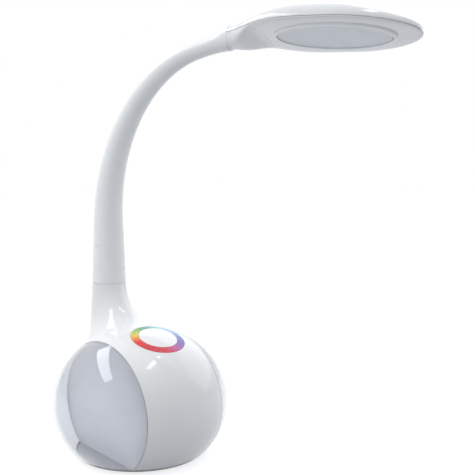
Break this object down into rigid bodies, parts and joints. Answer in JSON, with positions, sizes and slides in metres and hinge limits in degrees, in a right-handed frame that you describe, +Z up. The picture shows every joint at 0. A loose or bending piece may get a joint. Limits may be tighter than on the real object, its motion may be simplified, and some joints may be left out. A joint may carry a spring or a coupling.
{
  "type": "desk lamp",
  "caption": "Desk lamp on a ball base with a white centre band and clear side domes, a touch ring on top, a flexible sleeved arm and a flat oval light head.",
  "frame": {"origin": "centre of the rubber pad under the base, on the desk", "axes": "+Z up, front of the base with its touch ring is -Y, the arm rises at the rear on +Y"},
  "size_m": [0.1943, 0.3014, 0.3775],
  "materials": {
    "arm_steel": "satin",
    "ballast_iron": "as cast",
    "black_plastic": "matte",
    "circuit_board": "solder mask",
    "clear_dome": "clear gloss",
    "floor_plastic": "matte",
    "frosted_lens": "frosted",
    "led_resin": "gloss",
    "pad_rubber": "matte",
    "ring_lens": "milky gloss",
    "screw_steel": "satin",
    "sleeve_silicone": "satin",
    "white_plastic": "gloss",
    "white_wall": "satin"
  },
  "bodies": {
    "base": {"arm_core_0": "arm_steel", "arm_sleeve_0": "sleeve_silicone", "ballast": "ballast_iron", "ballast_screws": "screw_steel", "base_plate": "floor_plastic", "base_screws": "screw_steel", "base_shell": "white_plastic", "board_parts": "black_plastic", "board_screws": "screw_steel", "dc_jack": "black_plastic", "left_dome": "clear_dome", "left_panel": "white_wall", "left_rgb_board": "circuit_board", "main_board": "circuit_board", "neck_nut": "arm_steel", "rgb_leds": "led_resin", "right_dome": "clear_dome", "right_panel": "white_wall", "right_rgb_board": "circuit_board", "ring_leds": "led_resin", "rubber_pad": "pad_rubber", "touch_board": "circuit_board", "touch_cap": "white_plastic", "touch_ring": "ring_lens"},
    "link_1": {"arm_sleeve_1": "sleeve_silicone", "arm_core_1": "arm_steel"},
    "link_2": {"arm_sleeve_2": "sleeve_silicone", "arm_core_2": "arm_steel"},
    "link_3": {"arm_sleeve_3": "sleeve_silicone", "arm_core_3": "arm_steel"},
    "link_4": {"arm_sleeve_4": "sleeve_silicone", "arm_core_4": "arm_steel"},
    "link_5": {"arm_sleeve_5": "sleeve_silicone", "arm_core_5": "arm_steel"},
    "link_6": {"arm_sleeve_6": "sleeve_silicone", "arm_core_6": "arm_steel"},
    "link_7": {"arm_sleeve_7": "sleeve_silicone", "arm_core_7": "arm_steel"},
    "link_8": {"arm_sleeve_8": "sleeve_silicone", "arm_core_8": "arm_steel"},
    "link_9": {"arm_sleeve_9": "sleeve_silicone", "arm_core_9": "arm_steel"},
    "head": {"arm_sleeve_10": "sleeve_silicone", "arm_core_10": "arm_steel", "head_top": "white_plastic", "head_bottom": "white_plastic", "head_hood": "white_plastic", "diffuser": "frosted_lens", "led_board": "circuit_board", "led_chips": "led_resin", "led_screws": "screw_steel", "head_socket": "arm_steel"}
  },
  "joints": [
    {"name": "lower_bend", "type": "hinge", "parent": "base", "child": "link_1", "pos_m": [0, 0.0503, 0.1638], "axis": [0.9397, 0.342, 0], "range_deg": [-9, 8]},
    {"name": "arm_sway", "type": "hinge", "parent": "link_1", "child": "link_2", "pos_m": [0, 0.0503, 0.19122], "axis": [0.342, -0.9397, 0], "range_deg": [-8, 8]},
    {"name": "lower_bend_3", "type": "hinge", "parent": "link_2", "child": "link_3", "pos_m": [0.00017, 0.04984, 0.21863], "axis": [0.9397, 0.342, 0], "range_deg": [-9, 8]},
    {"name": "arm_sway_4", "type": "hinge", "parent": "link_3", "child": "link_4", "pos_m": [0.00152, 0.04613, 0.24574], "axis": [0.3339, -0.9174, -0.2167], "range_deg": [-8, 8]},
    {"name": "lower_bend_5", "type": "hinge", "parent": "link_4", "child": "link_5", "pos_m": [0.00424, 0.03864, 0.27195], "axis": [0.9397, 0.342, 0], "range_deg": [-9, 8]},
    {"name": "arm_sway_6", "type": "hinge", "parent": "link_5", "child": "link_6", "pos_m": [0.00838, 0.02727, 0.29651], "axis": [0.2925, -0.8037, -0.5181], "range_deg": [-8, 8]},
    {"name": "upper_bend", "type": "hinge", "parent": "link_6", "child": "link_7", "pos_m": [0.01397, 0.01193, 0.31848], "axis": [0.9397, 0.342, 0], "range_deg": [-9, 8]},
    {"name": "arm_sway_8", "type": "hinge", "parent": "link_7", "child": "link_8", "pos_m": [0.02098, -0.00736, 0.33659], "axis": [0.1953, -0.5366, -0.8209], "range_deg": [-8, 8]},
    {"name": "upper_bend_9", "type": "hinge", "parent": "link_8", "child": "link_9", "pos_m": [0.02928, -0.03014, 0.34923], "axis": [0.9397, 0.342, 0], "range_deg": [-9, 8]},
    {"name": "arm_sway_10", "type": "hinge", "parent": "link_9", "child": "head", "pos_m": [0.03836, -0.05508, 0.356], "axis": [0.0748, -0.2055, -0.9758], "range_deg": [-8, 8]}
  ],
  "couplings": [
    {"joint": "lower_bend_3", "follows": "lower_bend", "ratio": 1},
    {"joint": "arm_sway_4", "follows": "arm_sway", "ratio": 1},
    {"joint": "lower_bend_5", "follows": "lower_bend", "ratio": 1},
    {"joint": "arm_sway_6", "follows": "arm_sway", "ratio": 1},
    {"joint": "arm_sway_8", "follows": "arm_sway", "ratio": 1},
    {"joint": "upper_bend_9", "follows": "upper_bend", "ratio": 1},
    {"joint": "arm_sway_10", "follows": "arm_sway", "ratio": 1}
  ]
}
